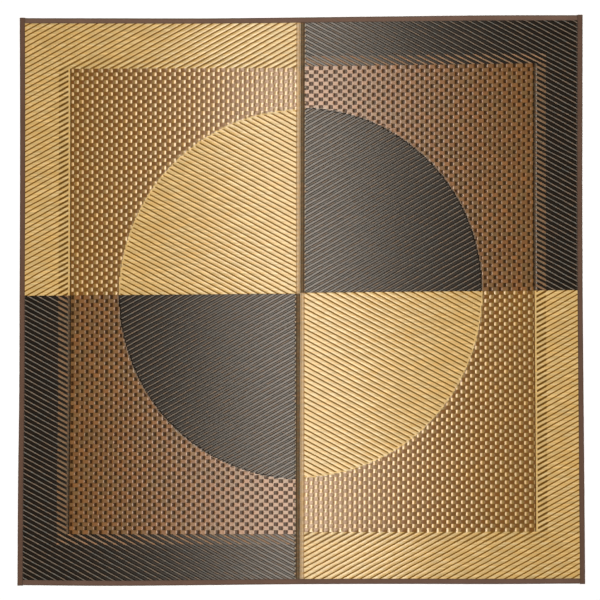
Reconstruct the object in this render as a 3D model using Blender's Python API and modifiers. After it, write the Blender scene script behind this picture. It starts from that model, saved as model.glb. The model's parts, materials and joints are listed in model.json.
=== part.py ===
"""Square rush rug: two woven mats joined down the middle, bound on every side with folded cloth tape.

Units are metres and +Z is up. The rug lies flat with its underside at z = 0. The origin is the
middle of the underside, X runs across the two mats and Y runs along the seam between them.
Every piece is laid out on a plain rectangle and then warped to the rug's slightly uneven outline.
"""

import math

import bmesh
import bpy
import numpy as np

# Plan of the rug
HALF_WIDTH = 0.955
HALF_LENGTH = 0.960
SEAM_SHIFT = -0.0037
SEAM_LEAN = 0.0013

# Thickness of the mats: plain weave, selvedge band at the seam, and edge pressed under the tape
RUG_THICKNESS = 0.0040
SELVEDGE_THICKNESS = 0.0032
PRESSED_THICKNESS = 0.0022
SELVEDGE_WIDTH = 0.0140
STEP_RUN = 0.0010

# Cloth tape folded over the edges
TAPE_WIDTH = 0.0180
TAPE_THICKNESS = 0.0006
TAPE_END_PROUD = 0.0012
FOLD_STEPS = 6

# Clearance between neighbouring pieces
GAP = 0.0003

# Spacing of the stations that follow the outline's curves
STATION_PITCH = 0.080

# Distance that each edge stands out of the plain rectangle, in millimetres.
# A row is one station, from the near end or left side (-1) to the far end or right side (1).
WANDER_COLUMNS = ("share", "left", "right", "far", "near")
EDGE_WANDER = (
    (-3 / 3, 5.1, 5.1, -5.7, 3.0),
    (-2 / 3, 3.2, 2.6, -6.2, 5.5),
    (-1 / 3, -0.9, -0.2, -6.4, 3.0),
    (0 / 3, -2.1, -3.0, -3.3, 0.0),
    (1 / 3, -3.4, -4.4, 0.4, -1.0),
    (2 / 3, -3.8, -4.0, 3.8, -0.5),
    (3 / 3, -2.8, -3.5, 4.3, -2.2),
)
MM = 0.001

# Colours as red, green, blue in linear light, with each surface's roughness
STRAW = ((0.60, 0.40, 0.18), 0.62)
BROWN_TAPE = ((0.16, 0.09, 0.07), 0.85)


def clear_scene():
    """Remove every object that the file opened with."""
    for obj in list(bpy.data.objects):
        bpy.data.objects.remove(obj, do_unlink=True)


def make_collection(name):
    """New collection under the scene's own."""
    collection = bpy.data.collections.new(name)
    bpy.context.scene.collection.children.link(collection)
    return collection


def make_material(name, finish):
    """Non-metallic material from a colour and a roughness."""
    colour, roughness = finish
    material = bpy.data.materials.new(name)
    material.use_nodes = True
    shader = material.node_tree.nodes["Principled BSDF"]
    shader.inputs["Base Color"].default_value = (*colour, 1.0)
    shader.inputs["Roughness"].default_value = roughness
    shader.inputs["Metallic"].default_value = 0.0
    return material


def wander(edge, share):
    """How far an edge stands out of the rectangle, by a smooth curve through the table's rows."""
    column = WANDER_COLUMNS.index(edge)
    shares = np.array([row[0] for row in EDGE_WANDER])
    values = np.array([row[column] for row in EDGE_WANDER]) * MM
    slopes = np.gradient(values, shares)
    share = min(max(share, -1.0), 1.0)
    first = min(int(np.searchsorted(shares, share, side="right")) - 1, len(shares) - 2)
    span = shares[first + 1] - shares[first]
    t = (share - shares[first]) / span
    start = (1 + 2 * t) * (1 - t) ** 2 * values[first] + t * (1 - t) ** 2 * span * slopes[first]
    end = t * t * (3 - 2 * t) * values[first + 1] - t * t * (1 - t) * span * slopes[first + 1]
    return float(start + end)


def warp(x, y):
    """Move a point of the plain rectangle to the same place in the uneven outline."""
    across = abs(x) / HALF_WIDTH
    along = abs(y) / HALF_LENGTH
    side = "left" if x < 0 else "right"
    end = "near" if y < 0 else "far"
    seam = SEAM_SHIFT + SEAM_LEAN * y / HALF_LENGTH
    side_move = math.copysign(across, x) * wander(side, y / HALF_LENGTH) + seam * (1 - across)
    end_move = math.copysign(along, y) * wander(end, x / HALF_WIDTH)
    return x + side_move, y + end_move


def stations(low, high):
    """Evenly spaced positions from low to high, both included."""
    count = math.ceil((high - low) / STATION_PITCH)
    return [low + (high - low) * step / count for step in range(count + 1)]


def grid_object(name, collection, columns, rows, place):
    """Open sheet of quads, one vertex for each column and row, at the point that place gives."""
    bm = bmesh.new()
    last_column = len(columns) - 1
    last_row = len(rows) - 1
    bmesh.ops.create_grid(bm, x_segments=last_column, y_segments=last_row, size=1.0)
    for vertex in bm.verts:
        column = columns[round((vertex.co.x + 1) / 2 * last_column)]
        row = rows[round((vertex.co.y + 1) / 2 * last_row)]
        vertex.co = place(column, row)
    mesh = bpy.data.meshes.new(name)
    bm.to_mesh(mesh)
    bm.free()
    obj = bpy.data.objects.new(name, mesh)
    collection.objects.link(obj)
    return obj


def add_thickness(obj, thickness, group=None):
    """Give a sheet its thickness, half on each face of it, by an optional vertex group."""
    solidify = obj.modifiers.new("Thickness", "SOLIDIFY")
    solidify.thickness = thickness
    solidify.offset = 0.0
    solidify.use_even_offset = True
    if group is not None:
        solidify.vertex_group = group.name


def panel_thickness(x, y):
    """Thickness of a mat at a point of the plain rectangle."""
    covered = TAPE_WIDTH + GAP + GAP / 2
    if min(HALF_WIDTH - abs(x), HALF_LENGTH - abs(y)) < covered:
        return PRESSED_THICKNESS
    if abs(x) < SELVEDGE_WIDTH + GAP / 2:
        return SELVEDGE_THICKNESS
    return RUG_THICKNESS


def build_panel(name, side, collection, material):
    """One loom width of the rug. side is -1 for the left mat and 1 for the right one."""
    edge_inset = RUG_THICKNESS / 2
    pressed_end = TAPE_WIDTH + GAP
    woven_start = pressed_end + STEP_RUN
    outer = [HALF_WIDTH - edge_inset, HALF_WIDTH - pressed_end]
    woven = stations(SELVEDGE_WIDTH + STEP_RUN, HALF_WIDTH - woven_start)
    columns = sorted(side * x for x in [GAP / 2, SELVEDGE_WIDTH, *woven, *outer])
    ends = [HALF_LENGTH - edge_inset, HALF_LENGTH - pressed_end]
    rows = stations(woven_start - HALF_LENGTH, HALF_LENGTH - woven_start)
    rows = sorted([*rows, *ends, *(-y for y in ends)])

    def place(x, y):
        return (*warp(x, y), RUG_THICKNESS / 2)

    panel = grid_object(name, collection, columns, rows, place)
    panel.data.materials.append(material)
    group = panel.vertex_groups.new(name="thickness")
    for vertex in panel.data.vertices:
        row, column = divmod(vertex.index, len(columns))
        share = panel_thickness(columns[column], rows[row]) / RUG_THICKNESS
        group.add([vertex.index], share, "REPLACE")
    add_thickness(panel, RUG_THICKNESS, group)
    return panel


def tape_profile():
    """Middle line of the folded tape: distance in from the edge and height, from top to bottom."""
    middle = RUG_THICKNESS / 2
    radius = middle - TAPE_THICKNESS / 2
    profile = [(TAPE_WIDTH, middle + radius)]
    for step in range(FOLD_STEPS + 1):
        angle = math.pi * step / FOLD_STEPS
        profile.append((middle - radius * math.sin(angle), middle + radius * math.cos(angle)))
    profile.append((TAPE_WIDTH, middle - radius))
    return profile


def build_tape(name, reach, edge_point, collection, material):
    """Folded tape that reaches equally far both ways along an edge.

    edge_point gives the place on the plain rectangle of a distance in from the edge and one along it.
    """

    def place(point, along):
        inward, height = point
        return (*warp(*edge_point(inward, along)), height)

    tape = grid_object(name, collection, tape_profile(), stations(-reach, reach), place)
    tape.data.materials.append(material)
    add_thickness(tape, TAPE_THICKNESS)
    return tape


def build_side_tape(name, side, collection, material):
    """Tape over an outer side, the whole length and over both corners. side is -1 or 1."""

    def edge_point(inward, along):
        return side * (HALF_WIDTH - inward), along

    return build_tape(name, HALF_LENGTH + TAPE_END_PROUD, edge_point, collection, material)


def build_end_tape(name, end, collection, material):
    """Tape over an end, between the side tapes. end is -1 for the near end and 1 for the far one."""

    def edge_point(inward, along):
        return along, end * (HALF_LENGTH - inward)

    return build_tape(name, HALF_WIDTH - TAPE_WIDTH - GAP, edge_point, collection, material)


def main():
    """Build the rug."""
    clear_scene()
    rug = make_collection("rush_rug")
    for name, side in (("panel_left", -1), ("panel_right", 1)):
        build_panel(name, side, rug, make_material(name + "_straw", STRAW))
    for name, side in (("binding_left", -1), ("binding_right", 1)):
        build_side_tape(name, side, rug, make_material(name + "_cloth", BROWN_TAPE))
    for name, end in (("binding_near", -1), ("binding_far", 1)):
        build_end_tape(name, end, rug, make_material(name + "_cloth", BROWN_TAPE))


main()
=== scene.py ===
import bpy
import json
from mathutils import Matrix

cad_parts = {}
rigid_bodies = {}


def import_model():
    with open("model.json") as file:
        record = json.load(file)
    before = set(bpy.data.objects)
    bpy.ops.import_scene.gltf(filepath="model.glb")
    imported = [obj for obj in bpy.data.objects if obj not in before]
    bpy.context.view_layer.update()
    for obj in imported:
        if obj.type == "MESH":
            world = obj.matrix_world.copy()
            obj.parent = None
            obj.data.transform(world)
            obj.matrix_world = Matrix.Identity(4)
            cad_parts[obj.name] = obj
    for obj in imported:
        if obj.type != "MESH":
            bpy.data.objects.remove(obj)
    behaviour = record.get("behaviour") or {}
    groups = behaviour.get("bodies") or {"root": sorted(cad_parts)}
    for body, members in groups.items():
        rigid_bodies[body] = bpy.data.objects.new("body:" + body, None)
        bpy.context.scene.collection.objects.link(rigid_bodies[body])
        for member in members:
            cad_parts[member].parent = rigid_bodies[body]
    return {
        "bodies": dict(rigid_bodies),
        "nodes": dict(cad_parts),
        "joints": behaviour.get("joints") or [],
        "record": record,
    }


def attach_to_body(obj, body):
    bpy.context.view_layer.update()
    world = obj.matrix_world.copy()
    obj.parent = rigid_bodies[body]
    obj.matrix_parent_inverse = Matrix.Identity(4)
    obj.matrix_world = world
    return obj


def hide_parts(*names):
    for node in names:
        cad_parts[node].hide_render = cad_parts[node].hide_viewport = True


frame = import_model()

"""Looks of a square rush rug: two woven mats joined down the middle and bound with folded cloth tape.

Units are metres. X runs across the two mats, Y along their seam, and Z is up, as in the frame.
The weave is laid out in weaver's counts: columns of the pattern outward from the seam, and shots
of rush outward from the line where the quarters meet. The same counts place the relief of the
meshes and the colours of the rush, so the two always agree.
"""

import json
import logging
import math
from dataclasses import dataclass, field
from enum import Enum
from typing import Sequence

import bpy
import numpy as np

LOG = logging.getLogger("rush_rug")
MM = 0.001
BODY = "root"

Colour = tuple[float, float, float]
Socket = bpy.types.NodeSocket
Value = "float | Socket"


class Side(Enum):
    """The two mats, as seen from above with the near end at the bottom."""

    LEFT = -1
    RIGHT = 1


class End(Enum):
    """The two ends of the rug along the seam."""

    NEAR = -1
    FAR = 1


class Tone(Enum):
    """The rush that a quarter's frame and disc are woven in."""

    STRAW = "straw"
    BLACK = "black"


@dataclass(frozen=True)
class Outline:
    """The rug's uneven edge: a plain rectangle, warped by how far each edge stands out of it."""

    half_width: float = 0.955
    half_length: float = 0.960
    seam_shift: float = -0.0037
    seam_lean: float = 0.0013
    columns: tuple[str, ...] = ("share", "left", "right", "far", "near")
    edge_wander: tuple[tuple[float, ...], ...] = (
        (-3 / 3, 5.1, 5.1, -5.7, 3.0),
        (-2 / 3, 3.2, 2.6, -6.2, 5.5),
        (-1 / 3, -0.9, -0.2, -6.4, 3.0),
        (0 / 3, -2.1, -3.0, -3.3, 0.0),
        (1 / 3, -3.4, -4.4, 0.4, -1.0),
        (2 / 3, -3.8, -4.0, 3.8, -0.5),
        (3 / 3, -2.8, -3.5, 4.3, -2.2),
    )

    def wander(self, edge: str, share: np.ndarray) -> np.ndarray:
        """How far an edge stands out of the rectangle, by a smooth curve through the table's rows.

        Args:
            edge: The edge's name, one of columns.
            share: Places along the edge, from -1 to 1.

        Returns:
            The distance outward at each place, in metres.
        """
        column = self.columns.index(edge)
        shares = np.array([row[0] for row in self.edge_wander])
        values = np.array([row[column] for row in self.edge_wander]) * MM
        slopes = np.gradient(values, shares)
        share = np.clip(share, -1.0, 1.0)
        first = np.clip(np.searchsorted(shares, share, side="right") - 1, 0, len(shares) - 2)
        span = shares[first + 1] - shares[first]
        t = (share - shares[first]) / span
        start = (1 + 2 * t) * (1 - t) ** 2 * values[first] + t * (1 - t) ** 2 * span * slopes[first]
        end = t * t * (3 - 2 * t) * values[first + 1] - t * t * (1 - t) * span * slopes[first + 1]
        return start + end

    def warp(self, x: np.ndarray, y: np.ndarray) -> tuple[np.ndarray, np.ndarray]:
        """Move points of the plain rectangle to the same places in the uneven outline.

        Args:
            x: Places across the rug.
            y: Places along the rug.

        Returns:
            The moved places, across and along.
        """
        x, y = np.broadcast_arrays(np.asarray(x, float), np.asarray(y, float))
        across = np.abs(x) / self.half_width
        along = np.abs(y) / self.half_length
        up, over = y / self.half_length, x / self.half_width
        side = np.where(x < 0, self.wander("left", up), self.wander("right", up))
        end = np.where(y < 0, self.wander("near", over), self.wander("far", over))
        seam = self.seam_shift + self.seam_lean * up
        return (
            x + np.copysign(across, x) * side + seam * (1 - across),
            y + np.copysign(along, y) * end,
        )


def make_piece(
    name: str,
    points: np.ndarray,
    faces: Sequence[Sequence[int]],
    flat_faces: int = 0,
    maps: dict[str, np.ndarray] | None = None,
) -> bpy.types.Object:
    """Make a smooth mesh object in the scene.

    Args:
        name: The piece's name.
        points: One row of x, y, z for each vertex.
        faces: The vertices of each face, anticlockwise from outside.
        flat_faces: How many of the last faces are shaded flat.
        maps: UV maps by name, with one row for each vertex.

    Returns:
        The new object.
    """
    mesh = bpy.data.meshes.new(name)
    mesh.from_pydata(points.tolist(), [], faces)
    smooth = np.ones(len(mesh.polygons), bool)
    if flat_faces:
        smooth[-flat_faces:] = False
    mesh.polygons.foreach_set("use_smooth", smooth)
    corners = np.zeros(len(mesh.loops), np.int32)
    mesh.loops.foreach_get("vertex_index", corners)
    for map_name, values in (maps or {}).items():
        layer = mesh.uv_layers.new(name=map_name)
        layer.uv.foreach_set("vector", values[corners].astype(np.float32).ravel())
    mesh.update()
    piece = bpy.data.objects.new(name, mesh)
    bpy.context.scene.collection.objects.link(piece)
    return piece


def attach(piece: bpy.types.Object, nodes: Sequence[str] = ()) -> bpy.types.Object:
    """Fix a piece to the rug and hide the frame's solids that it replaces.

    Args:
        piece: The piece.
        nodes: The frame's nodes that it replaces.

    Returns:
        The same piece.
    """
    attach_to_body(piece, BODY)
    if nodes:
        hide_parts(*nodes)
    LOG.info("%s: %d faces", piece.name, len(piece.data.polygons))
    return piece


class Graph:
    """The node tree of one material, with short calls for sums, masks and mixes."""

    def __init__(self, name: str) -> None:
        """Start a material with its Principled shader."""
        self.material = bpy.data.materials.new(name)
        self.material.use_nodes = True
        self.nodes = self.material.node_tree.nodes
        self.links = self.material.node_tree.links
        self.shader = self.nodes["Principled BSDF"]

    def node(self, kind: str, **settings: object) -> bpy.types.Node:
        """Add a node.

        Args:
            kind: The node's type.
            settings: Its properties.

        Returns:
            The new node.
        """
        node = self.nodes.new(kind)
        for key, value in settings.items():
            setattr(node, key, value)
        return node

    def feed(self, target: Socket, value: Value) -> None:
        """Link a socket into another, or set its value.

        Args:
            target: The input.
            value: A socket, or a plain value.
        """
        if isinstance(value, bpy.types.NodeSocket):
            self.links.new(value, target)
        else:
            target.default_value = value

    def sum(self, operation: str, *values: Value) -> Socket:
        """One Math node.

        Args:
            operation: Its operation.
            values: Its inputs in order.

        Returns:
            The result.
        """
        node = self.node("ShaderNodeMath", operation=operation)
        for target, value in zip(node.inputs, values):
            self.feed(target, value)
        return node.outputs[0]

    def add(self, *values: Value) -> Socket:
        """The sum of all values."""
        total = values[0]
        for value in values[1:]:
            total = self.sum("ADD", total, value)
        return total

    def product(self, *values: Value) -> Socket:
        """The product of all values."""
        total = values[0]
        for value in values[1:]:
            total = self.sum("MULTIPLY", total, value)
        return total

    def below(self, value: Value, edge: Value) -> Socket:
        """1 where the value is less than the edge."""
        return self.sum("LESS_THAN", value, edge)

    def inverse(self, mask: Value) -> Socket:
        """1 minus the mask."""
        return self.sum("SUBTRACT", 1.0, mask)

    def ease(self, value: Value, low: float, high: float, start: float = 0.0, end: float = 1.0) -> Socket:
        """A smooth step.

        Args:
            value: What is read.
            low: Where the step starts.
            high: Where it ends.
            start: The result up to low.
            end: The result past high.

        Returns:
            The result.
        """
        node = self.node("ShaderNodeMapRange", interpolation_type="SMOOTHSTEP")
        for target, given in zip(node.inputs, (value, low, high, start, end)):
            self.feed(target, given)
        return node.outputs[0]

    def mix(self, share: Value, low: object, high: object, blend: str = "MIX") -> Socket:
        """Mix two colours.

        Args:
            share: How much of high.
            low: A colour or socket.
            high: A colour or socket.
            blend: The way of mixing.

        Returns:
            The mixed colour.
        """
        node = self.node("ShaderNodeMix", data_type="RGBA", blend_type=blend)
        self.feed(node.inputs[0], share)
        for target, value in ((node.inputs[6], low), (node.inputs[7], high)):
            self.feed(target, (*value, 1.0) if isinstance(value, tuple) else value)
        return node.outputs[2]

    def vector(self, *values: Value) -> Socket:
        """A vector of up to three values."""
        node = self.node("ShaderNodeCombineXYZ")
        for target, value in zip(node.inputs, values):
            self.feed(target, value)
        return node.outputs[0]

    def blend(self, share: Value, low: Value, high: Value) -> Socket:
        """Mix two numbers.

        Args:
            share: How much of high.
            low: A number or socket.
            high: A number or socket.

        Returns:
            The mixed number.
        """
        node = self.node("ShaderNodeMix", data_type="FLOAT")
        for target, value in zip((node.inputs[0], node.inputs[2], node.inputs[3]), (share, low, high)):
            self.feed(target, value)
        return node.outputs[0]

    def parts(self, place: Socket) -> tuple[Socket, Socket, Socket]:
        """The three coordinates of a vector."""
        split = self.node("ShaderNodeSeparateXYZ")
        self.links.new(place, split.inputs[0])
        return tuple(split.outputs)

    def map_parts(self, map_name: str) -> tuple[Socket, Socket]:
        """The two coordinates of a UV map."""
        return self.parts(self.node("ShaderNodeUVMap", uv_map=map_name).outputs[0])[:2]

    def noise(self, place: Socket, scale: float, detail: float = 2.0, rough: float = 0.5) -> Socket:
        """Smooth noise.

        Args:
            place: Where it is read.
            scale: Its scale.
            detail: How many finer layers it has.
            rough: How strong they are.

        Returns:
            The noise, about 0.5.
        """
        node = self.node("ShaderNodeTexNoise", noise_dimensions="3D")
        self.links.new(place, node.inputs["Vector"])
        node.inputs["Scale"].default_value = scale
        node.inputs["Detail"].default_value = detail
        node.inputs["Roughness"].default_value = rough
        return node.outputs[0]

    def chance(self, *values: Value) -> Socket:
        """A random number from 0 to 1 for each set of whole values."""
        node = self.node("ShaderNodeTexWhiteNoise", noise_dimensions="3D")
        self.links.new(self.vector(*values), node.inputs["Vector"])
        return node.outputs[0]

    def relief(self, height: Socket, depth: float) -> None:
        """Bump the surface.

        Args:
            height: The relief, from 0 to 1.
            depth: What 1 stands for, in metres.
        """
        bump = self.node("ShaderNodeBump")
        bump.inputs["Distance"].default_value = depth
        self.links.new(height, bump.inputs["Height"])
        self.links.new(bump.outputs[0], self.shader.inputs["Normal"])


# Height of the floats from their middle out, in shares of a repeat or of a column
RIB_PLACES = (0.0, 0.083, 0.167, 0.25, 0.333, 0.40, 0.5)
RIB_HEIGHTS = (1.0, 0.97, 0.88, 0.73, 0.50, 0.20, 0.0)
FLOAT_PLACES = (0.0, 0.30, 0.42, 0.5)
LONG_HEIGHTS = {Tone.STRAW: (1.0, 1.0, 0.99, 0.94), Tone.BLACK: (1.0, 1.0, 1.0, 0.97)}
SHORT_HEIGHTS = {Tone.STRAW: (0.97, 0.75, 0.35, 0.94), Tone.BLACK: (0.70, 0.62, 0.90, 0.97)}
BETWEEN_ROWS = 0.45
SIDE_LINE_HEIGHT = 0.6

# How much of the full relief a twill's ribs have
RIB_SHARES = {Tone.STRAW: 1.0, Tone.BLACK: 0.28}

# Where the mesh's lines lie in each column, so that they meet the floats' edges
COLUMN_LINES = (0.0, 0.08, 0.20, 0.50, 0.80, 0.92)


@dataclass(frozen=True)
class Twill:
    """A twill that repeats about every two columns and four shots, with a line where floats dive."""

    across: float
    along: float
    offset: float

    def phase(self, column: np.ndarray, shot: np.ndarray) -> np.ndarray:
        """Place in the repeat, 0.5 at the middle of the line where floats dive."""
        return np.mod(column * self.across + shot * self.along + self.offset, 1.0)

    def crown(self, column: np.ndarray, shot: np.ndarray) -> np.ndarray:
        """Height of the ribs.

        Args:
            column: Columns out from the seam.
            shot: Shots out from the line between the quarters.

        Returns:
            From 0 in the lines to 1 on the ribs.
        """
        from_rib = 0.5 - np.abs(self.phase(column, shot) - 0.5)
        return np.interp(from_rib, RIB_PLACES, RIB_HEIGHTS)


@dataclass(frozen=True)
class Layout:
    """Where one quarter's patterns lie, counted in columns and shots."""

    tone: Tone
    first_column: float
    column_pitch: float
    field_columns: float
    field_shots: int
    frame_shots: int
    disc_centre: float
    disc_columns: float
    disc_shots: float
    frame_twill: Twill
    disc_twill: Twill
    strip_columns: float = 2.6
    strip_shots: int = 8
    side_line_columns: float = 0.26
    side_edge_columns: float = 0.34
    rows_per_check: int = 3

    @property
    def side_end(self) -> float:
        """Where the two threads beside the field end, in columns beyond it."""
        return self.side_line_columns + self.side_edge_columns

    @property
    def all_shots(self) -> int:
        """Shots from the line between the quarters to the tape."""
        return self.field_shots + self.frame_shots

    @property
    def check_parity(self) -> int:
        return 1 if self.tone is Tone.STRAW else 0

    def in_disc(self, column: np.ndarray, shot: np.ndarray) -> np.ndarray:
        """True inside the disc."""
        across = (column - self.disc_centre) / self.disc_columns
        return across**2 + (shot / self.disc_shots) ** 2 < 1

    def in_field(self, column: np.ndarray, shot: np.ndarray) -> np.ndarray:
        """True inside the checked field, disc included."""
        return (column < self.field_columns) & (shot < self.field_shots)

    def check_crown(self, column: np.ndarray, shot: np.ndarray) -> np.ndarray:
        """Height of the checks' floats, read at the lines between shots.

        Args:
            column: Columns out from the seam.
            shot: Shots out from the line between the quarters.

        Returns:
            From 0 between floats to 1 on them.
        """
        row = np.floor(shot / self.rows_per_check)
        long_float = np.mod(np.floor(column) + row, 2) != self.check_parity
        away = np.abs(np.mod(column, 1.0) - 0.5)
        crown = np.where(
            long_float,
            np.interp(away, FLOAT_PLACES, LONG_HEIGHTS[self.tone]),
            np.interp(away, FLOAT_PLACES, SHORT_HEIGHTS[self.tone]),
        )
        between = np.mod(shot, self.rows_per_check) == 0
        return np.where(between, BETWEEN_ROWS, crown)

    def twill_crown(self, twill: Twill, column: np.ndarray, shot: np.ndarray) -> np.ndarray:
        """Height of one of the twills: black rush is beaten flatter than straw."""
        return 1 - RIB_SHARES[self.tone] * (1 - twill.crown(column, shot))

    def crown(self, column: np.ndarray, shot: np.ndarray) -> np.ndarray:
        """Height of the weave's relief anywhere in the quarter, from 0 to 1."""
        side_line = (column >= self.field_columns) & (shot < self.field_shots)
        side_line &= column < self.field_columns + self.side_end
        ribs = self.twill_crown(self.frame_twill, column, shot)
        framed = np.where(side_line, SIDE_LINE_HEIGHT, ribs)
        disc = self.twill_crown(self.disc_twill, column, shot)
        inside = np.where(self.in_disc(column, shot), disc, self.check_crown(column, shot))
        return np.where(self.in_field(column, shot), inside, framed)


@dataclass(frozen=True)
class RushPalette:
    """Colours, gloss and the widths of the coloured parts in one quarter, in linear light."""

    floats: Colour
    pale: Colour
    line: Colour
    line_share: float
    disc_line_share: float
    side_strip: Colour
    side_strip_share: float
    end_strip: Colour
    end_strip_share: float
    rim: Colour
    side_line: Colour
    side_edge: Colour
    check: Colour
    # Painted shade on the contrasting floats' sides where they curve down; its lean moves their lighter
    # middle toward the seam, a painted shift of the highlight
    check_side_shade: Colour
    side_shade_span: tuple[float, float]
    side_shade_lean: float
    # In black quarters the contrasting floats' reach narrows away from the seam: brown is painted over
    # their inner sides as a painted sheen
    reach_at_seam: float
    reach_at_side: float
    brown: Colour
    # Painted shade in the creases where floats dive, beside the contrasting floats and between rows of
    # checks
    gap: Colour
    gap_shade_share: float
    float_spread: float
    band: Colour
    band_line: Colour
    band_line_span: tuple[float, float]
    band_gloss: float
    binder: Colour
    binder_share: float
    twill_gloss: Colour
    check_gloss: Colour
    rib_gloss: float
    line_gloss: float
    contrast_gloss: float
    brown_gloss: float
    dive_gloss: float
    roughness: float
    crown_only: bool


PALETTES = {
    Tone.STRAW: RushPalette(
        floats=(0.77, 0.515, 0.200),
        pale=(0.98, 0.76, 0.40),
        line=(0.225, 0.096, 0.001),
        line_share=0.28,
        disc_line_share=0.28,
        side_strip=(0.17, 0.077, 0.008),
        side_strip_share=0.46,
        end_strip=(0.26, 0.13, 0.022),
        end_strip_share=0.42,
        rim=(0.25, 0.145, 0.040),
        side_line=(0.14, 0.060, 0.010),
        side_edge=(0.77, 0.515, 0.200),
        check=(0.88, 0.60, 0.29),
        check_side_shade=(0.40, 0.225, 0.052),
        side_shade_span=(0.08, 0.24),
        side_shade_lean=0.13,
        reach_at_seam=0.47,
        reach_at_side=0.47,
        brown=(0.22, 0.090, 0.015),
        gap=(0.18, 0.098, 0.010),
        gap_shade_share=0.85,
        float_spread=0.11,
        band=(0.70, 0.46, 0.23),
        band_line=(0.33, 0.17, 0.045),
        band_line_span=(0.0118, 0.0145),
        band_gloss=0.18,
        binder=(0.85, 0.66, 0.44),
        binder_share=0.0,
        twill_gloss=(1.0, 0.93, 0.78),
        check_gloss=(1.0, 0.82, 0.66),
        rib_gloss=0.40,
        line_gloss=0.035,
        contrast_gloss=1.0,
        brown_gloss=0.54,
        dive_gloss=0.40,
        roughness=0.43,
        crown_only=False,
    ),
    Tone.BLACK: RushPalette(
        floats=(0.010, 0.006, 0.003),
        pale=(0.016, 0.010, 0.005),
        line=(0.187, 0.154, 0.122),
        line_share=0.25,
        disc_line_share=0.26,
        side_strip=(0.25, 0.155, 0.088),
        side_strip_share=0.46,
        end_strip=(0.32, 0.20, 0.12),
        end_strip_share=0.34,
        rim=(0.26, 0.19, 0.13),
        side_line=(0.020, 0.012, 0.006),
        side_edge=(0.12, 0.075, 0.042),
        check=(0.050, 0.020, 0.004),
        check_side_shade=(0.030, 0.010, 0.002),
        side_shade_span=(0.16, 0.36),
        side_shade_lean=0.0,
        reach_at_seam=0.42,
        reach_at_side=0.27,
        brown=(0.26, 0.120, 0.033),
        gap=(0.050, 0.024, 0.008),
        gap_shade_share=0.15,
        float_spread=0.30,
        band=(0.20, 0.125, 0.058),
        band_line=(0.05, 0.026, 0.013),
        band_line_span=(0.0098, 0.0132),
        band_gloss=0.05,
        binder=(0.50, 0.38, 0.25),
        binder_share=0.9,
        twill_gloss=(1.0, 0.92, 0.84),
        check_gloss=(1.0, 0.80, 0.69),
        rib_gloss=0.59,
        line_gloss=0.13,
        contrast_gloss=0.30,
        brown_gloss=0.96,
        dive_gloss=1.0,
        roughness=0.52,
        crown_only=True,
    ),
}


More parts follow.
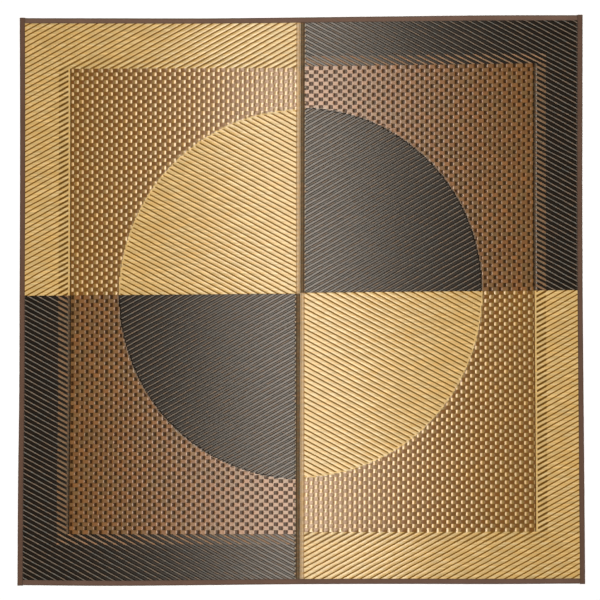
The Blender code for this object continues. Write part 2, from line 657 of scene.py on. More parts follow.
class WeaveGraph(Graph):
    """The node tree of one quarter's rush, with a mask from 0 to 1 for each part of its pattern."""

    rim_steps = 4.0
    rim_start = 0.9925
    rim_end = 1.006
    step_share = 0.15
    line_blur = 0.03
    crown_span = (0.18, 0.40)
    between_span = (0.30, 0.5)
    between_shade = 0.82
    end_blur = 0.03
    # Where the painted shade of the creases beside floats and between rows lies
    gap_shade_span = (0.36, 0.43)
    row_gap_shade_span = (0.40, 0.5)
    binder_width = 0.0035
    binder_span = (0.08, 0.24)
    binder_gap = (0.0026, 0.0056)
    binder_gap_span = (0.20, 0.34)
    binder_shots = 4.0
    stems_per_shot = 3.0

    # Lengths of a drift, a stem's piece and a float, as steps for each column and each stem or shot
    drift_steps = (0.22, 3.7)
    piece_steps = (0.09, 0.37)
    float_steps = (0.5, 0.25)

    # Numbers that keep the random tints apart
    float_tint_key = 3.0
    float_warmth_key = 8.0
    check_tint_key = 5.0
    check_warmth_key = 9.0

    def __init__(self, name: str, layout: Layout, band_end: float) -> None:
        """Read the weave's counts and find every part of the pattern.

        Args:
            name: The material's name.
            layout: Where the patterns lie.
            band_end: How far the band along the seam reaches from it.
        """
        super().__init__(name)
        self.layout = layout
        self.palette = PALETTES[layout.tone]
        self.column, self.shot = self.map_parts("weave")
        self.row = self.add(self.sum("FLOOR", self.shot), 0.5)
        self.climb = self.blend(self.step_share, self.shot, self.row)
        self.find_regions()
        self.find_checks()
        self.find_band(band_end)
        self.vary_stems()

    def within(self, value: Value, low: float, high: float) -> Socket:
        """1 between two edges."""
        return self.product(self.below(low, value), self.below(value, high))

    def from_middle(self, value: Value) -> Socket:
        """Distance from the middle of the whole step that a value is in."""
        return self.sum("ABSOLUTE", self.add(self.sum("FRACT", value), -0.5))

    def find_regions(self) -> None:
        """Find the field, the disc and its rim, and the strips and threads round the field."""
        layout = self.layout
        self.in_rows = self.below(self.shot, layout.field_shots)
        self.in_field = self.product(self.below(self.column, layout.field_columns), self.in_rows)
        step = self.sum("FLOOR", self.product(self.column, self.rim_steps))
        stepped = self.product(self.add(step, 0.5), 1 / self.rim_steps)
        across = self.product(self.add(stepped, -layout.disc_centre), 1 / layout.disc_columns)
        along = self.product(self.row, 1 / layout.disc_shots)
        spread = self.sum("SQRT", self.add(self.product(across, across), self.product(along, along)))
        self.in_disc = self.product(self.below(spread, 1.0), self.in_field)
        self.in_checks = self.product(self.in_field, self.inverse(self.in_disc))
        self.disc_rim = self.product(self.below(self.rim_start, spread), self.in_disc)
        self.beyond_rim = self.product(self.below(spread, self.rim_end), self.in_checks)
        beyond = self.add(self.column, -layout.field_columns)
        self.side_line = self.product(self.in_rows, self.within(beyond, 0.0, layout.side_line_columns))
        edge = self.within(beyond, layout.side_line_columns, layout.side_end)
        self.side_edge = self.product(self.in_rows, edge)
        self.in_strip = self.product(
            self.below(self.column, layout.field_columns + layout.strip_columns),
            self.below(self.shot, layout.field_shots + layout.strip_shots),
        )

    def find_checks(self) -> None:
        """Find the contrasting floats with painted shade on their sides, and the painted shade in the
        gaps beside them and between rows.
        """
        share = self.product(self.shot, 1 / self.layout.rows_per_check)
        stripe, row = self.sum("FLOOR", self.column), self.sum("FLOOR", share)
        self.check_tint = self.chance(stripe, row, self.check_tint_key)
        self.check_warmth = self.chance(stripe, row, self.check_warmth_key)
        odd = self.sum("FLOORED_MODULO", self.add(stripe, row), 2.0)
        self.chosen = odd if self.layout.check_parity else self.inverse(odd)
        palette = self.palette
        outward = self.product(self.column, 1 / self.layout.field_columns)
        from_float = self.from_middle(self.column)
        # Painted sheen: in black quarters the float's reach narrows with distance from the seam, and
        # brown is painted where its inner side would catch the light
        float_reach = self.blend(outward, palette.reach_at_seam, palette.reach_at_side)
        past_end = self.sum("SUBTRACT", from_float, float_reach)
        blur = self.end_blur
        self.contrast = self.product(self.chosen, self.ease(past_end, -blur, blur, 1.0, 0.0))
        # Painted shade on the floats' sides, leaning further outward away from the seam so the lit middle
        # follows the highlight from the light over the seam
        lean = self.product(outward, palette.side_shade_lean)
        leaning = self.add(self.sum("FRACT", self.column), -0.5, lean)
        self.float_side_shade = self.ease(self.sum("ABSOLUTE", leaning), *palette.side_shade_span)
        # Painted shade in the creases beside the contrasting floats and between rows
        in_gap = self.ease(from_float, *self.gap_shade_span)
        self.gap = self.product(self.chosen, in_gap, palette.gap_shade_share)
        self.row_gap_shade = self.ease(self.from_middle(share), *self.row_gap_shade_span)

    def find_band(self, band_end: float) -> None:
        """Find the band along the seam, the line in it, and the binding threads that show beyond it."""
        layout, palette = self.layout, self.palette
        reach = self.add(self.product(self.column, layout.column_pitch), layout.first_column)
        self.in_band = self.below(reach, band_end)
        self.band_line = self.within(reach, *palette.band_line_span)
        from_binder = self.from_middle(self.product(self.shot, 1 / self.binder_shots))
        self.binder = self.product(
            self.within(reach, band_end, band_end + self.binder_width),
            self.ease(from_binder, *self.binder_span, 1.0, 0.0),
            palette.binder_share,
        )
        low, high = self.binder_gap
        self.under_binder = self.product(
            self.within(reach, band_end + low, band_end + high),
            self.ease(from_binder, *self.binder_gap_span),
            palette.binder_share,
        )

    def step_of(self, across: float, up: float, line: Value) -> Socket:
        """Whole steps, counted over the columns and the stems or shots."""
        return self.sum("FLOOR", self.add(self.product(self.column, across), self.product(line, up)))

    def vary_stems(self) -> None:
        """Find the shade between shots and the tints of stems, which drift along them, and of floats."""
        from_shot = self.from_middle(self.shot)
        self.shot_shade = self.ease(from_shot, *self.between_span, 1.0, self.between_shade)
        stem = self.sum("FLOOR", self.product(self.shot, self.stems_per_shot))
        across, up = self.drift_steps
        place = self.vector(self.product(self.column, across), self.product(stem, up), 0.0)
        self.drift = self.noise(place, 1.0, 1.0)
        self.stem_tint = self.chance(stem, self.step_of(*self.piece_steps, stem))
        float_no = self.step_of(*self.float_steps, self.row)
        self.float_tint = self.chance(float_no, self.row, self.float_tint_key)
        self.float_warmth = self.chance(float_no, self.row, self.float_warmth_key)

    def twill_place(self, twill: Twill) -> Socket:
        """Place in a twill, counted in repeats."""
        across = self.product(self.column, twill.across)
        return self.add(across, self.product(self.climb, twill.along), twill.offset)

    def line(self, twill: Twill, share: float) -> Socket:
        """1 in a twill's lines, which take a share of each repeat."""
        low, high = share / 2 - self.line_blur, share / 2 + self.line_blur
        return self.ease(self.from_middle(self.twill_place(twill)), low, high, 1.0, 0.0)

    def crown(self, twill: Twill) -> Socket:
        """1 along the crowns of a twill's ribs, midway between its lines."""
        return self.ease(self.from_middle(self.twill_place(twill)), *self.crown_span)


@dataclass(frozen=True)
class RushFinish:
    """Woven rush: each stem has its own tint, and floats that lie flat shine."""

    refraction: float = 2.0
    fibre_depth: float = 0.00006
    fibre_scale: float = 700.0
    run_scale: float = 70.0
    thread_turns: float = 12.0
    thread_shade: float = 0.62
    thread_contrast: float = 0.7
    band_line_share: float = 0.8
    pale_start: float = 0.45
    pale_share: float = 0.35
    row_gap_shade_share: float = 0.35
    rim_share: float = 0.75
    stem_spread: float = 0.12
    drift_spread: float = 0.18
    warmth_spread: float = 0.24
    middle_tone: float = 0.88
    gap_gloss: float = 0.08
    row_gap_gloss: float = 0.5
    roughness_spread: float = 0.10
    stretch: float = 1.0
    stretch_turn: float = 0.25
    gloss_level: float = 1.0

    def pattern_colour(self, graph: WeaveGraph) -> Socket:
        """The rush in each part of the pattern.

        Args:
            graph: The material.

        Returns:
            The colour before its small variations.
        """
        palette, layout = graph.palette, graph.layout
        frame, disc = layout.frame_twill, layout.disc_twill
        pale = graph.ease(graph.float_tint, self.pale_start, 1.0, 0.0, self.pale_share)
        floats = graph.mix(pale, palette.floats, palette.pale)
        rush, side_strip, end_strip = (
            graph.mix(graph.line(frame, share), floats, line)
            for share, line in (
                (palette.line_share, palette.line),
                (palette.side_strip_share, palette.side_strip),
                (palette.end_strip_share, palette.end_strip),
            )
        )
        rush = graph.mix(graph.in_strip, rush, graph.mix(graph.in_rows, end_strip, side_strip))
        rush = graph.mix(graph.side_line, rush, palette.side_line)
        rush = graph.mix(graph.side_edge, rush, palette.side_edge)
        # The contrasting float gets painted shade on its sides
        contrast = graph.mix(graph.float_side_shade, palette.check, palette.check_side_shade)
        checks = graph.mix(graph.contrast, palette.brown, contrast)
        # Painted shade in the creases beside the contrasting floats and between rows of checks
        checks = graph.mix(graph.gap, checks, palette.gap)
        checks = graph.mix(graph.product(graph.row_gap_shade, self.row_gap_shade_share), checks, palette.gap)
        rush = graph.mix(graph.in_field, rush, checks)
        rush = graph.mix(graph.product(graph.beyond_rim, self.rim_share), rush, palette.rim)
        disc_line = graph.line(disc, palette.disc_line_share)
        disc_line = graph.product(disc_line, graph.inverse(graph.disc_rim))
        return graph.mix(graph.in_disc, rush, graph.mix(disc_line, floats, palette.line))

    def band_colour(self, graph: WeaveGraph) -> Socket:
        """The close threads of the band along the seam, with one line of another colour."""
        band = graph.palette.band
        shaded = tuple(self.thread_shade * part for part in band)
        thread = graph.sum("SINE", graph.product(graph.column, self.thread_turns))
        lit = graph.product(graph.sum("ABSOLUTE", thread), self.thread_contrast)
        rush = graph.mix(lit, shaded, band)
        line = graph.product(graph.band_line, self.band_line_share)
        return graph.mix(line, rush, graph.palette.band_line)

    def colour(self, graph: WeaveGraph) -> Socket:
        """The whole quarter's colour.

        Args:
            graph: The material.

        Returns:
            The pattern and the band, varied from stem to stem.
        """
        rush = graph.mix(graph.binder, self.pattern_colour(graph), graph.palette.binder)
        rush = graph.mix(graph.under_binder, rush, graph.palette.floats)
        rush = graph.mix(graph.in_band, rush, self.band_colour(graph))
        spread = graph.palette.float_spread
        float_tint = graph.blend(graph.in_checks, graph.float_tint, graph.check_tint)
        warmth = graph.blend(graph.in_checks, graph.float_warmth, graph.check_warmth)
        tone = graph.add(
            self.middle_tone - spread / 2,
            graph.product(graph.stem_tint, self.stem_spread),
            graph.product(graph.drift, self.drift_spread),
            graph.product(float_tint, spread),
        )
        tone = graph.product(tone, graph.shot_shade)
        blue = graph.add(graph.product(warmth, self.warmth_spread), 1 - self.warmth_spread / 2)
        red = graph.add(graph.product(warmth, -spread), 1 + spread / 2)
        tint = graph.vector(graph.product(tone, red), tone, graph.product(tone, blue))
        return graph.mix(1.0, rush, tint, "MULTIPLY")

    def twill_gloss(self, graph: WeaveGraph, twill: Twill, line_share: float) -> Socket:
        """How much a twill shines: straw all over its ribs, black along their crowns only.

        Args:
            graph: The material.
            twill: The twill.
            line_share: How much of each repeat its lines take.

        Returns:
            The strength of the shine.
        """
        palette = graph.palette
        rib = palette.rib_gloss
        if palette.crown_only:
            rib = graph.product(graph.crown(twill), palette.rib_gloss)
        return graph.blend(graph.line(twill, line_share), rib, palette.line_gloss)

    def gloss(self, graph: WeaveGraph) -> Socket:
        """The tint of the shine, dimmed where floats dive.

        Args:
            graph: The material.

        Returns:
            The shader's specular tint.
        """
        palette, layout = graph.palette, graph.layout
        brown_gloss = graph.blend(graph.chosen, palette.brown_gloss, palette.dive_gloss)
        checks = graph.product(
            graph.blend(graph.contrast, brown_gloss, palette.contrast_gloss),
            graph.ease(graph.gap, 0.0, 1.0, 1.0, self.gap_gloss),
            graph.ease(graph.row_gap_shade, 0.0, 1.0, 1.0, self.row_gap_gloss),
        )
        frame = self.twill_gloss(graph, layout.frame_twill, palette.line_share)
        disc = self.twill_gloss(graph, layout.disc_twill, palette.disc_line_share)
        gloss = graph.blend(graph.in_disc, graph.blend(graph.in_checks, frame, checks), disc)
        bound = graph.sum("MAXIMUM", graph.in_band, graph.binder)
        gloss = graph.blend(bound, gloss, palette.band_gloss)
        tint = graph.mix(graph.in_checks, palette.twill_gloss, palette.check_gloss)
        return graph.mix(1.0, tint, graph.vector(gloss, gloss, gloss), "MULTIPLY")

    def raise_fibres(self, graph: WeaveGraph) -> None:
        """Relief finer than the mesh: fibres along the stems, and threads along the seam's band."""
        x, y, _ = graph.parts(graph.node("ShaderNodeTexCoord").outputs["Object"])
        run, fine = self.run_scale, self.fibre_scale
        fibre = graph.noise(graph.vector(graph.product(x, run), graph.product(y, fine), 0.0), 1.0)
        cord = graph.noise(graph.vector(graph.product(x, fine), graph.product(y, run), 0.0), 1.0)
        graph.relief(graph.blend(graph.in_band, fibre, cord), self.fibre_depth)

    def dress(self, piece: bpy.types.Object, layout: Layout, band_end: float) -> None:
        """Give a quarter its woven rush.

        Args:
            piece: The quarter's mesh, with its columns and shots in the map "weave".
            layout: Where its patterns lie.
            band_end: How far the band along the seam reaches from it.
        """
        graph = WeaveGraph(piece.name + "_rush", layout, band_end)
        sockets = graph.shader.inputs
        graph.links.new(self.colour(graph), sockets["Base Color"])
        graph.links.new(self.gloss(graph), sockets["Specular Tint"])
        self.raise_fibres(graph)
        spread = self.roughness_spread
        rough = graph.add(graph.palette.roughness - spread / 2, graph.product(graph.drift, spread))
        graph.links.new(rough, sockets["Roughness"])
        tangent = graph.node("ShaderNodeTangent", direction_type="UV_MAP", uv_map="weave")
        graph.links.new(tangent.outputs[0], sockets["Tangent"])
        sockets["Anisotropic"].default_value = self.stretch
        sockets["Anisotropic Rotation"].default_value = self.stretch_turn
        sockets["IOR"].default_value = self.refraction
        sockets["Specular IOR Level"].default_value = self.gloss_level
        piece.data.materials.append(graph.material)


@dataclass(frozen=True)
class ClothFinish:
    """Woven cotton tape, dyed brown."""

    cloth: Colour
    # Painted shade on the tape's rounded fold and painted shadow along its inner edge, in this colour
    edge: Colour = (0.075, 0.045, 0.032)
    worn: Colour = (0.21, 0.14, 0.11)
    thread_pitch: float = 0.0006
    roughness: float = 0.85
    sheen: float = 0.15
    sheen_roughness: float = 0.5
    gloss_level: float = 0.2
    yarn_scales: tuple[float, float] = (900.0, 60.0)
    blotch_scale: float = 9.0
    blotch_detail: float = 3.0
    blotch_span: tuple[float, float] = (0.35, 0.7)
    blotch_gain: float = 1.15
    fold_shade_span: tuple[float, float] = (0.0012, 0.0042)
    hem_shadow_span: tuple[float, float] = (0.0166, 0.0178)
    worn_share: float = 0.25
    edge_shade_share: float = 0.8
    weave_shade: tuple[float, float] = (0.82, 0.26)
    weave_height: float = 0.7
    slub_height: float = 0.5
    relief_depth: float = 0.00012

    def dress(self, piece: bpy.types.Object) -> None:
        """Give a tape its cloth.

        Args:
            piece: A tape, with its distance in from the fold and along the edge in the map "cloth".
        """
        graph = Graph(piece.name + "_cloth")
        inward, along = graph.map_parts("cloth")
        weft = graph.sum("SINE", graph.product(along, 2 * math.pi / self.thread_pitch))
        warp = graph.sum("SINE", graph.product(inward, 2 * math.pi / self.thread_pitch))
        weave = graph.add(0.5, graph.product(weft, warp, 0.5))
        place = graph.vector(inward, along, 0.0)
        across, up = self.yarn_scales
        yarns = graph.vector(graph.product(inward, across), graph.product(along, up), 0.0)
        slub = graph.noise(yarns, 1.0)
        blotch = graph.noise(place, self.blotch_scale, self.blotch_detail)
        blotch = graph.ease(blotch, *self.blotch_span)
        faded = tuple(self.blotch_gain * part for part in self.cloth)
        colour = graph.mix(blotch, self.cloth, faded)
        colour = graph.mix(graph.product(slub, self.worn_share), colour, self.worn)
        # Painted shade on the rounded fold and a painted shadow along the inner edge
        fold = graph.ease(inward, *self.fold_shade_span, 1.0, 0.0)
        hem_shadow = graph.ease(inward, *self.hem_shadow_span)
        for painted_dark in (fold, hem_shadow):
            colour = graph.mix(graph.product(painted_dark, self.edge_shade_share), colour, self.edge)
        least, gain = self.weave_shade
        shade = graph.add(least, graph.product(weave, gain))
        colour = graph.mix(1.0, colour, graph.vector(shade, shade, shade), "MULTIPLY")
        raised = graph.add(
            graph.product(weave, self.weave_height),
            graph.product(slub, self.slub_height),
        )
        graph.relief(raised, self.relief_depth)
        sockets = graph.shader.inputs
        graph.links.new(colour, sockets["Base Color"])
        sockets["Roughness"].default_value = self.roughness
        sockets["Sheen Weight"].default_value = self.sheen
        sockets["Sheen Roughness"].default_value = self.sheen_roughness
        sockets["Specular IOR Level"].default_value = self.gloss_level
        piece.data.materials.append(graph.material)


@dataclass(frozen=True)
class ThreadFinish:
    """Twisted sewing thread."""

    thread: Colour = (0.060, 0.036, 0.026)
    lit_gain: float = 1.8
    twist_scale: float = 2400.0
    twist_depth: float = 0.0001
    roughness: float = 0.6

    def dress(self, piece: bpy.types.Object) -> None:
        """Give stitches their thread.

        Args:
            piece: One tape's stitches.
        """
        graph = Graph(piece.name + "_thread")
        place = graph.node("ShaderNodeTexCoord").outputs["Object"]
        twist = graph.noise(place, self.twist_scale, 1.0)
        lit = tuple(self.lit_gain * part for part in self.thread)
        graph.links.new(graph.mix(twist, self.thread, lit), graph.shader.inputs["Base Color"])
        graph.relief(twist, self.twist_depth)
        graph.shader.inputs["Roughness"].default_value = self.roughness
        piece.data.materials.append(graph.material)


@dataclass
class MatQuarter:
    """The part of one mat on one side of the line where the colours change over."""

    outline: Outline
    side: Side
    end: End
    layout: Layout
    quarter_line: tuple[float, float, float, float]
    field_line: tuple[float, float, float, float]
    finish: RushFinish = field(default_factory=RushFinish)
    thickness: float = 0.0040
    selvedge_thickness: float = 0.0032
    pressed_thickness: float = 0.0022
    selvedge_width: float = 0.0140
    step_run: float = 0.0010
    tape_cover: float = 0.0183
    rim_inset: float = 0.0020
    half_gap: float = 0.00015
    relief: float = 0.0017
    back_crown: float = 0.7
    quarter_shift: float = 0.025

    # The mesh's lines: those of the band and the rim, the rim's shots, and every how many the back keeps
    least_step: float = 0.0006
    band_lines: int = 3
    rim_lines: int = 2
    rim_shots: tuple[float, float] = (0.25, 4.0)
    under_columns: int = 3
    under_rows: int = 2

    # The loom's small unevenness
    pitch_spread: float = 0.05
    seed: int = 7
    far_seed: int = 1000

    @property
    def name(self) -> str:
        """Name of the piece."""
        return f"mat_{self.side.name.lower()}_{self.end.name.lower()}"

    def column_of(self, reach: np.ndarray) -> np.ndarray:
        """Columns out from the seam at a distance from it."""
        return (np.asarray(reach) - self.layout.first_column) / self.layout.column_pitch

    def reaches(self) -> np.ndarray:
        """Distances out from the seam of the mesh's lines, from the seam to the outer rim."""
        woven_start = self.selvedge_width + self.step_run
        woven_end = self.outline.half_width - self.tape_cover - self.step_run
        last_column = math.ceil(self.column_of(woven_end))
        lines = np.add.outer(np.arange(-1, last_column + 1), np.array(COLUMN_LINES)).ravel()
        woven = self.layout.first_column + self.layout.column_pitch * lines
        woven = woven[(woven > woven_start + self.least_step) & (woven < woven_end - self.least_step)]
        inner = [self.half_gap, self.selvedge_width / 2, self.selvedge_width, woven_start]
        outer = [woven_end, woven_end + self.step_run, self.outline.half_width - self.rim_inset]
        return np.array([*inner, *woven, *outer])

    def line_at(self, line: tuple[float, float, float, float], x: np.ndarray) -> np.ndarray:
        """A straight line across the mat, given as x, y, x, y."""
        start_x, start_y, end_x, end_y = line
        return start_y + (end_y - start_y) * (x - start_x) / (end_x - start_x)

    def shot_shares(self, first: int, last: int) -> np.ndarray:
        """Where shots lie between two lines, from 0 to 1, with the loom's small unevenness.

        Args:
            first: The first line's shot.
            last: The last line's shot.

        Returns:
            A share for each shot from first to last.
        """
        end_seed = self.far_seed if self.end is End.FAR else 0
        rng = np.random.default_rng(self.seed + first + end_seed)
        pitches = 1 + self.pitch_spread * rng.standard_normal(last - first)
        return np.concatenate([[0.0], np.cumsum(pitches) / pitches.sum()])

    def grid(self) -> tuple[np.ndarray, np.ndarray, np.ndarray, np.ndarray]:
        """The mesh's lines.

        Returns:
            Places across and along, and the columns and shots there, one row for each line of shots.
        """
        reach = self.reaches()
        across = self.side.value * reach
        end = self.end.value
        woven_y = end * (self.outline.half_length - self.tape_cover - self.step_run)
        start = self.line_at(self.quarter_line, across)
        middle = self.line_at(self.field_line, across)
        stop = self.outline.warp(across, np.full_like(across, woven_y))[1]
        field_shots, all_shots = self.layout.field_shots, self.layout.all_shots
        inner = self.shot_shares(0, field_shots)[:, None]
        outer = self.shot_shares(field_shots, all_shots)[1:, None]
        rows = np.vstack([start + (middle - start) * inner, middle + (stop - middle) * outer])
        ends = [woven_y + end * self.step_run, end * (self.outline.half_length - self.rim_inset)]
        edge_rows = [self.outline.warp(across, np.full_like(across, y))[1] for y in ends]
        y = np.vstack([rows, *edge_rows])
        x = self.outline.warp(np.broadcast_to(across, y.shape), y)[0]
        shots = np.concatenate([np.arange(all_shots + 1), all_shots + np.array(self.rim_shots)])
        column = np.broadcast_to(self.column_of(reach), y.shape)
        return x, y, column, np.broadcast_to(shots[:, None], y.shape)

    def half_thickness(self, column: np.ndarray, shot: np.ndarray, relief: bool) -> np.ndarray:
        """Height of the surface above the mat's middle.

        Args:
            column: Columns out from the seam.
            shot: Shots out from the quarters' line.
            relief: True for the face, false for the plainer back.

        Returns:
            The height at each point of the grid.
        """
        crown = np.full(column.shape, self.back_crown)
        if relief:
            crown = self.layout.crown(column, shot)
        height = self.thickness / 2 - self.relief * (1 - crown)
        height[:, : self.band_lines] = self.selvedge_thickness / 2
        height[:, -self.rim_lines :] = self.pressed_thickness / 2
        height[-self.rim_lines :, :] = self.pressed_thickness / 2
        return height

    def back_picks(self, rows: int, columns: int) -> tuple[list[int], list[int]]:
        """The mesh's lines that the back keeps inside its rim.

        Args:
            rows: How many lines of shots the face has.
            columns: How many lines it has across them.

        Returns:
            The kept lines of shots, and the kept lines across them.
        """
        rim = self.rim_lines + 1
        band = self.band_lines
        row_picks = {*range(0, rows, self.under_rows), *range(rows - rim, rows)}
        column_picks = {0, band - 1, *range(band, columns, self.under_columns)}
        column_picks |= {*range(columns - rim, columns)}
        return sorted(row_picks), sorted(column_picks)

    def back_faces(
        self, back: np.ndarray, row_picks: list[int], column_picks: list[int]
    ) -> list[list[int]]:
        """The back's faces, with every point of the rim in those beside it.

        Args:
            back: The back's point at each place of the face's grid.
            row_picks: The kept lines of shots.
            column_picks: The kept lines across them.

        Returns:
            The points of each face.
        """
        rows, columns = back.shape
        faces = []
        for low, high in zip(row_picks, row_picks[1:]):
            for near, far in zip(column_picks, column_picks[1:]):
                left = back[low : high + 1, near] if near == 0 else back[[low, high], near]
                top = back[high, near : far + 1] if high == rows - 1 else back[high, [near, far]]
                right = back[low : high + 1, far] if far == columns - 1 else back[[low, high], far]
                bottom = back[low, near : far + 1] if low == 0 else back[low, [near, far]]
                faces.append([*left, *top[1:], *right[::-1][1:], *bottom[::-1][1:-1]])
        return faces

    def build(self) -> bpy.types.Object:
        """Weave the quarter as one closed mesh and dress it.

        Returns:
            The quarter.
        """
        x, y, column, shot = self.grid()
        rows, columns = x.shape
        middle = self.thickness / 2
        face_z = middle + self.half_thickness(column, shot, True)
        back_z = middle - self.half_thickness(column, shot, False)
        face = np.arange(rows * columns).reshape(rows, columns)
        row_picks, column_picks = self.back_picks(rows, columns)
        kept = np.zeros((rows, columns), bool)
        kept[np.ix_(row_picks, column_picks)] = True
        kept[[0, -1], :] = True
        kept[:, [0, -1]] = True
        back = np.full((rows, columns), -1)
        back[kept] = rows * columns + np.arange(kept.sum())
        points, counts = (
            np.vstack(
                [
                    np.stack([one.ravel() for one in on_face], 1),
                    np.stack([one[kept] for one in on_back], 1),
                ]
            )
            for on_face, on_back in (
                ((x, y, face_z), (x, y, back_z)),
                ((column, shot), (column, shot)),
            )
        )
        corners = [face[:-1, :-1], face[:-1, 1:], face[1:, 1:], face[1:, :-1]]
        faces = np.stack(corners, 2).reshape(-1, 4).tolist()
        faces += self.back_faces(back, row_picks, column_picks)
        walls = []
        for upper, lower in (
            (face[0], back[0]),
            (face[:, -1], back[:, -1]),
            (face[-1][::-1], back[-1][::-1]),
            (face[:, 0][::-1], back[:, 0][::-1]),
        ):
            walls += np.stack([upper[:-1], lower[:-1], lower[1:], upper[1:]], 1).tolist()
        faces += walls
        if self.side.value * self.end.value < 0:
            faces = [one[::-1] for one in faces]
        piece = make_piece(self.name, points, faces, len(walls), {"weave": counts})
        self.finish.dress(piece, self.layout, self.selvedge_width + self.step_run / 2)
        return attach(piece, [f"panel_{self.side.name.lower()}"])

    def declare(self, piece: bpy.types.Object) -> None:
        """Do nothing with the quarter."""


@dataclass
class Binding:
    """One tape folded over an edge, with the stitches that hold it."""

    outline: Outline
    name: str
    reach: float
    edge: str
    finish: ClothFinish
    thread: ThreadFinish = field(default_factory=ThreadFinish)
    width: float = 0.0180
    cloth: float = 0.0006
    height: float = 0.0040
    fold_steps: int = 8
    leg_steps: int = 5
    pitch: float = 0.0040
    stitch_length: float = 0.0027
    stitch_radius: float = 0.00032
    stitch_inset: float = 0.0152
    stitch_sides: int = 6

    # A stitch's rings: place along it in half lengths, then radius and height in stitch radii
    stitch_rings: tuple[tuple[float, ...], ...] = (
        (-1.0, 0.35, -1.2),
        (-0.7, 0.85, -0.1),
        (0.0, 1.0, 0.35),
        (0.7, 0.85, -0.1),
        (1.0, 0.35, -1.2),
    )

    # The tape's slight waves between stitches
    pucker: float = 0.00012
    pucker_turns: tuple[float, float] = (41.0, 17.3)
    pucker_start: float = 1.0
    pucker_sink: float = 0.4

    def section(self) -> np.ndarray:
        """The tape's closed outline: distance in from the edge and height, outside then inside."""
        middle = self.height / 2

        def path(radius: float) -> list[tuple[float, float]]:
            """One face of the tape, from the top's inner edge round to the bottom's."""
            legs = np.linspace(self.width, middle, self.leg_steps + 1)[:-1]
            turns = np.linspace(0, math.pi, self.fold_steps + 1)
            top = [(inward, middle + radius) for inward in legs]
            fold = [(middle - radius * math.sin(a), middle + radius * math.cos(a)) for a in turns]
            return [*top, *fold, *[(inward, middle - radius) for inward in legs[::-1]]]

        return np.array([*path(middle), *path(middle - self.cloth)[::-1]])

    def place(self, inward: np.ndarray, along: np.ndarray, z: np.ndarray) -> np.ndarray:
        """Points at distances in from the edge and along it.

        Args:
            inward: Distance in from the edge.
            along: Distance along it, from its middle.
            z: Height.

        Returns:
            One row of x, y, z for each.
        """
        half_width, half_length = self.outline.half_width, self.outline.half_length
        plain = {
            "left": (inward - half_width, along),
            "right": (half_width - inward, along),
            "far": (along, half_length - inward),
            "near": (along, inward - half_length),
        }[self.edge]
        x, y = self.outline.warp(*plain)
        return np.stack([x.ravel(), y.ravel(), z.ravel()], 1)

    def build(self) -> list[bpy.types.Object]:
        """Fold the tape, sew it down and dress both.

        Returns:
            The tape and its stitches.
        """
        section = self.section()
        count = round(2 * self.reach / self.pitch)
        along = np.linspace(-self.reach, self.reach, count + 1)
        inward, stations = np.meshgrid(section[:, 0], along)
        z = np.broadcast_to(section[:, 1], inward.shape).copy()
        upper = np.zeros(len(section), bool)
        upper[: self.leg_steps] = True
        upper[-self.leg_steps :] = True
        quick, slow = self.pucker_turns
        wave = np.sin(along * quick) * np.sin(along * slow + self.pucker_start) - self.pucker_sink
        z[:, upper] += self.pucker * wave[:, None] * np.sin(np.pi * inward[:, upper] / self.width)
        points = self.place(inward, stations, z)
        ring = len(section)
        index = np.arange(points.shape[0]).reshape(-1, ring)
        turned = np.roll(index, -1, axis=1)
        faces = np.stack([index[:-1], turned[:-1], turned[1:], index[1:]], 2).reshape(-1, 4).tolist()
        caps = [index[0][::-1].tolist(), index[-1].tolist()]
        faces += caps
        if self.edge in ("left", "far"):
            faces = [one[::-1] for one in faces]
        counts = np.stack([inward.ravel(), stations.ravel()], 1)
        tape = make_piece(self.name + "_tape", points, faces, len(caps), {"cloth": counts})
        self.finish.dress(tape)
        attach(tape, [self.name])
        return [tape, self.sew(along)]

    def sew(self, along: np.ndarray) -> bpy.types.Object:
        """The stitches: short capsules that sink into the cloth at both ends.

        Args:
            along: Where the tape's stations are.

        Returns:
            The stitches as one piece.
        """
        middles = (along[1:-1] + along[2:]) / 2
        shares, fat, rise = np.array(self.stitch_rings).T[:, :, None]
        fat, rise = fat * self.stitch_radius, rise * self.stitch_radius
        angles = np.linspace(0, 2 * math.pi, self.stitch_sides, endpoint=False)
        ring_in = np.cos(angles) * fat
        ring_up = np.sin(angles) * fat + rise
        line = np.broadcast_to(shares * self.stitch_length / 2, ring_in.shape)
        inward = self.stitch_inset + np.broadcast_to(ring_in, (len(middles), *ring_in.shape))
        stations = middles[:, None, None] + line[None]
        z = self.height + np.broadcast_to(ring_up, inward.shape)
        points = self.place(inward, stations, z)
        index = np.arange(points.shape[0]).reshape(len(middles), *ring_in.shape)
        turned = np.roll(index, -1, axis=2)
        sides = np.stack([index[:, :-1], turned[:, :-1], turned[:, 1:], index[:, 1:]], 3).reshape(-1, 4)
        faces = sides.tolist() + index[:, 0, ::-1].tolist() + index[:, -1].tolist()
        if self.edge in ("right", "near"):
            faces = [one[::-1] for one in faces]
        piece = make_piece(self.name + "_stitches", points, faces)
        self.thread.dress(piece)
        return attach(piece)

    def declare(self, pieces: Sequence[bpy.types.Object]) -> None:
        """Do nothing with the tape and its stitches."""


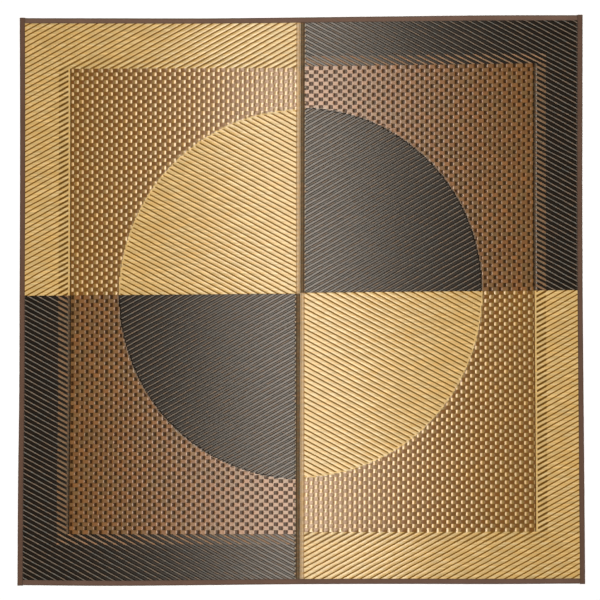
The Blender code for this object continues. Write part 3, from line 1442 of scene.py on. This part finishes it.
@dataclass(frozen=True)
class Studio:
    """A plain pale floor under soft lights, seen from straight above."""

    camera_x: float = -0.0044
    camera_y: float = 0.0012
    camera_height: float = 4.0
    frame_width: float = 2.028
    sensor: float = 36.0
    rug_top: float = 0.0040
    floor_half: float = 14.0
    strip_height: float = 4.4
    strip_size: tuple[float, float] = (0.4, 3.2)
    strip_watts: float = 150.0
    fill_place: tuple[float, float] = (4.2, 3.2)
    fill_size: tuple[float, float] = (2.0, 4.0)
    fill_watts: float = 50.0
    sky: float = 0.03
    light_tint: Colour = (1.0, 0.97, 0.93)
    floor_drop: float = 0.0002
    floor_tone: Colour = (0.92, 0.92, 0.92)
    floor_roughness: float = 0.9
    floor_gloss: float = 0.1
    floor_glow: float = 0.30

    def lay_floor(self) -> None:
        """A pale floor, not attached to the rug."""
        half, height = self.floor_half, -self.floor_drop
        corners = [(-half, -half), (half, -half), (half, half), (-half, half)]
        points = np.array([(*corner, height) for corner in corners])
        floor = make_piece("floor", points, [(0, 1, 2, 3)])
        graph = Graph("pale_floor")
        sockets = graph.shader.inputs
        sockets["Base Color"].default_value = (*self.floor_tone, 1.0)
        sockets["Roughness"].default_value = self.floor_roughness
        sockets["Specular IOR Level"].default_value = self.floor_gloss
        sockets["Emission Color"].default_value = (1.0, 1.0, 1.0, 1.0)
        sockets["Emission Strength"].default_value = self.floor_glow
        floor.data.materials.append(graph.material)

    def hang_light(
        self, name: str, place: Sequence[float], size: Sequence[float], watts: float
    ) -> None:
        """Hang one soft box that faces the rug's middle.

        Args:
            name: The light's name.
            place: Where it hangs.
            size: Its width and length.
            watts: Its power.
        """
        data = bpy.data.lights.new(name, "AREA")
        data.shape = "RECTANGLE"
        data.size, data.size_y = size
        data.energy = watts
        data.color = self.light_tint
        light = bpy.data.objects.new(name, data)
        light.location = place
        light.rotation_euler = (0.0, math.atan2(place[0], place[2]), 0.0)
        bpy.context.scene.collection.objects.link(light)

    def light(self) -> None:
        """A strip over the seam, a fill at each side, and a faint sky."""
        self.hang_light("strip", (0.0, 0.0, self.strip_height), self.strip_size, self.strip_watts)
        reach, height = self.fill_place
        for name, sign in (("fill_left", -1), ("fill_right", 1)):
            self.hang_light(name, (sign * reach, 0.0, height), self.fill_size, self.fill_watts)
        world = bpy.data.worlds.new("sky")
        world.use_nodes = True
        background = world.node_tree.nodes["Background"]
        background.inputs["Color"].default_value = (1.0, 1.0, 1.0, 1.0)
        background.inputs["Strength"].default_value = self.sky
        bpy.context.scene.world = world

    def place_camera(self) -> None:
        """Camera straight above the rug, whose frame is square."""
        data = bpy.data.cameras.new("overhead")
        data.sensor_width = self.sensor
        data.lens = self.sensor * (self.camera_height - self.rug_top) / self.frame_width
        camera = bpy.data.objects.new("overhead", data)
        camera.location = (self.camera_x, self.camera_y, self.camera_height)
        bpy.context.scene.collection.objects.link(camera)
        bpy.context.scene.camera = camera
        bpy.context.scene.view_settings.view_transform = "Standard"

    def build(self) -> None:
        """Set up the whole room."""
        self.lay_floor()
        self.light()
        self.place_camera()
        LOG.info("studio: floor, three lights and camera")


def quarter_layouts() -> dict[tuple[Side, End], Layout]:
    """The four quarters: straw and black change places from one to the next."""
    names = ("first_column", "column_pitch", "field_columns", "disc_centre", "disc_columns")
    columns = {
        (Side.LEFT, End.FAR): (0.00835, 0.01653, 46.66, -0.63, 37.43),
        (Side.RIGHT, End.FAR): (0.01240, 0.01636, 47.41, -0.63, 37.50),
        (Side.LEFT, End.NEAR): (0.00735, 0.01649, 46.83, -0.57, 37.52),
        (Side.RIGHT, End.NEAR): (0.01340, 0.01639, 47.26, -0.69, 37.43),
    }
    far = {"field_shots": 174, "frame_shots": 34, "disc_shots": 142.0}
    near = {"field_shots": 183, "frame_shots": 35, "disc_shots": 141.0}
    twills = {
        (Side.LEFT, End.FAR): (Twill(0.50851, 0.25196, 0.0240), Twill(0.50039, -0.24983, 0.4886)),
        (Side.RIGHT, End.FAR): (Twill(0.50932, 0.25042, 0.0319), Twill(0.50625, -0.24828, 0.4609)),
        (Side.LEFT, End.NEAR): (Twill(0.50693, 0.24812, 0.2193), Twill(0.50685, -0.25240, 0.6141)),
        (Side.RIGHT, End.NEAR): (Twill(0.50965, 0.25016, -0.0272), Twill(0.49921, -0.24952, 0.4227)),
    }
    layouts = {}
    for (side, end), (frame_twill, disc_twill) in twills.items():
        tone = Tone.STRAW if side.value * end.value < 0 else Tone.BLACK
        layouts[side, end] = Layout(
            tone=tone,
            **dict(zip(names, columns[side, end])),
            **(far if end is End.FAR else near),
            frame_twill=frame_twill,
            disc_twill=disc_twill,
        )
    return layouts


# Where the quarters meet, and the field's outer edges, as x, y, x, y
QUARTER_LINES = {
    Side.LEFT: (-0.6128, 0.0177, -0.0210, 0.0225),
    Side.RIGHT: (0.0125, 0.0259, 0.6040, 0.0316),
}
FIELD_LINES = {
    (Side.LEFT, End.FAR): (-0.7818, 0.7830, -0.0380, 0.7857),
    (Side.RIGHT, End.FAR): (0.0125, 0.7907, 0.7730, 0.8009),
    (Side.LEFT, End.NEAR): (-0.7818, -0.7904, -0.0380, -0.7904),
    (Side.RIGHT, End.NEAR): (0.0125, -0.7836, 0.7730, -0.7819),
}

# Each tape's dye, partly painted light: the far and near tapes are lighter where more light falls on them
TAPE_DYES_AND_LIGHT = {
    "left": (0.131, 0.067, 0.041),
    "right": (0.123, 0.065, 0.041),
    "far": (0.180, 0.105, 0.073),
    "near": (0.155, 0.086, 0.060),
}

# How far the side tapes pass the rug's ends, and how far the end tapes stop short of its sides
TAPE_END_PROUD = 0.0012
TAPE_END_INSET = 0.0183


def main() -> None:
    """Build the room, the mats and the binding."""
    logging.basicConfig(level=logging.INFO, format="%(name)s: %(message)s")
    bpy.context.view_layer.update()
    outline = Outline()
    Studio().build()
    for (side, end), layout in quarter_layouts().items():
        quarter = MatQuarter(outline, side, end, layout, QUARTER_LINES[side], FIELD_LINES[side, end])
        quarter.declare(quarter.build())
    side_reach = outline.half_length + TAPE_END_PROUD
    end_reach = outline.half_width - TAPE_END_INSET
    for edge, cloth in TAPE_DYES_AND_LIGHT.items():
        reach = side_reach if edge in ("left", "right") else end_reach
        binding = Binding(outline, f"binding_{edge}", reach, edge, ClothFinish(cloth))
        binding.declare(binding.build())


if __name__ == "__main__":
    main()
